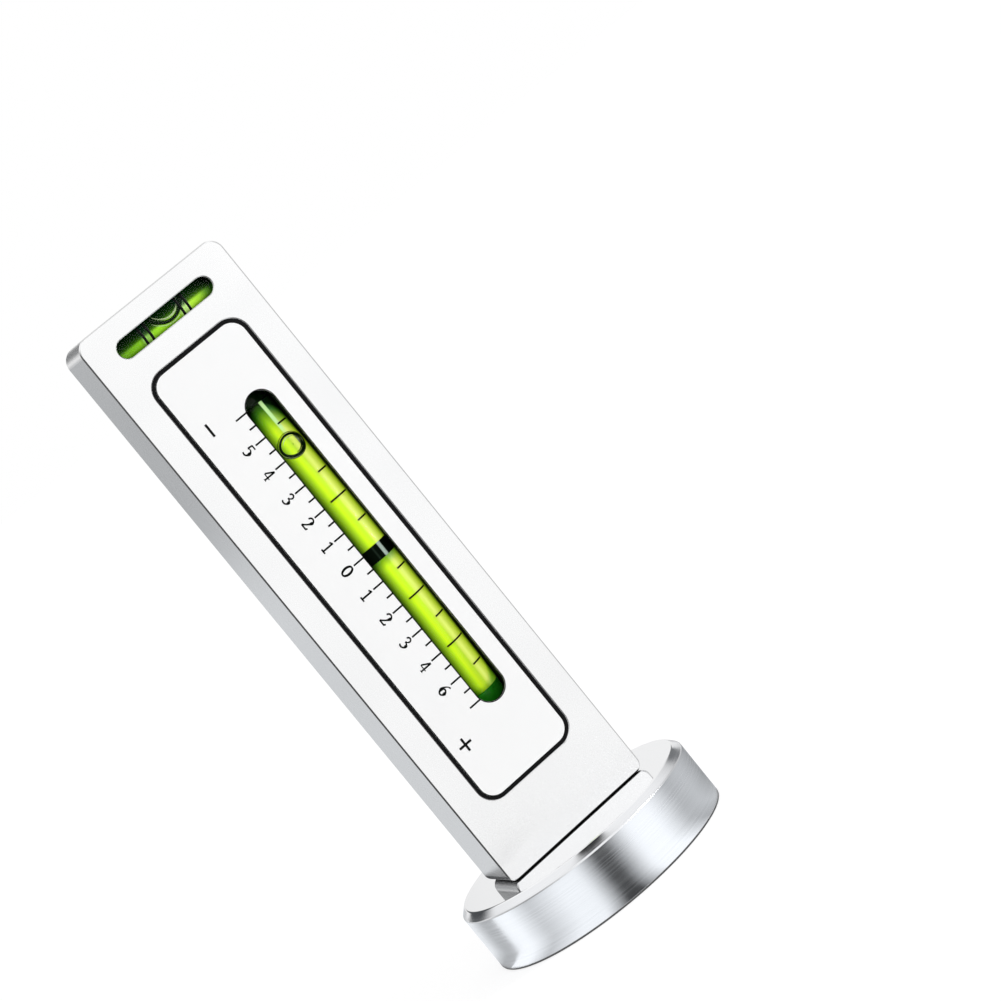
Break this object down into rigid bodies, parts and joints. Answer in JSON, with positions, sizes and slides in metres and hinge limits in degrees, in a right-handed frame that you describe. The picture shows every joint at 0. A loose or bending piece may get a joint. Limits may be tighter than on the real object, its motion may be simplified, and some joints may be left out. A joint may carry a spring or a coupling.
{
  "type": "magnetic camber gauge",
  "caption": "Upright bar gauge on a round pot magnet, with a curved tilt vial under a graduated plate and a cross level at its free end.",
  "frame": {"origin": "centre of the magnet's contact face", "axes": "+Z along the bar from the magnet to its free end, -Y out of the dial face, +X to the right as the dial is faced"},
  "size_m": [0.056, 0.056, 0.15],
  "materials": {
    "body_aluminium": "satin bead-blasted, bright broken edges",
    "plate_white": "satin white with black print",
    "gasket_black": "matt black rubber",
    "cradle_green": "matt moulded dark green",
    "vial_glass": "clear polished glass",
    "vial_liquid": "yellow-green fluorescent liquid",
    "plug_green": "dark green gloss",
    "print_black": "black print under gloss",
    "bubble_air": "clear air bubble",
    "plated_steel": "turned and plated, fine turning lines on the rim",
    "magnet_ferrite": "ground dark grey ferrite",
    "potting_black": "cast black resin",
    "screw_black": "black oxide",
    "pin_steel": "ground steel"
  },
  "bodies": {
    "gauge": {"gauge_body": "body_aluminium", "scale_plate": "plate_white", "plate_gasket": "gasket_black", "camber_cradle": "cradle_green", "camber_tube": "vial_glass", "camber_fluid": "vial_liquid", "camber_plug_top": "plug_green", "camber_plug_bottom": "plug_green", "zero_band": "print_black", "level_sleeve": "cradle_green", "level_tube": "vial_glass", "level_fluid": "vial_liquid", "level_plug_left": "plug_green", "level_plug_right": "plug_green", "level_ring_lines": "print_black", "level_bore_plug": "body_aluminium", "magnet_cup": "plated_steel", "ring_magnet": "magnet_ferrite", "pole_core": "plated_steel", "potting_ring": "potting_black", "base_screw": "screw_black", "lock_washer": "plated_steel", "dowel_pins": "pin_steel"},
    "camber_bubble_body": {"camber_bubble": "bubble_air"},
    "level_bubble_body": {"level_bubble": "bubble_air"}
  },
  "joints": [
    {"name": "camber_tilt", "type": "hinge", "parent": "gauge", "child": "camber_bubble_body", "pos_m": [0.00375, 0.34622, 0.0826], "axis": [1, 0, 0], "range_deg": [-1.2, 9.7]},
    {"name": "level_slide", "type": "slide", "parent": "gauge", "child": "level_bubble_body", "axis": [1, 0, 0], "range_m": [-0.0084, 0.0064]}
  ]
}
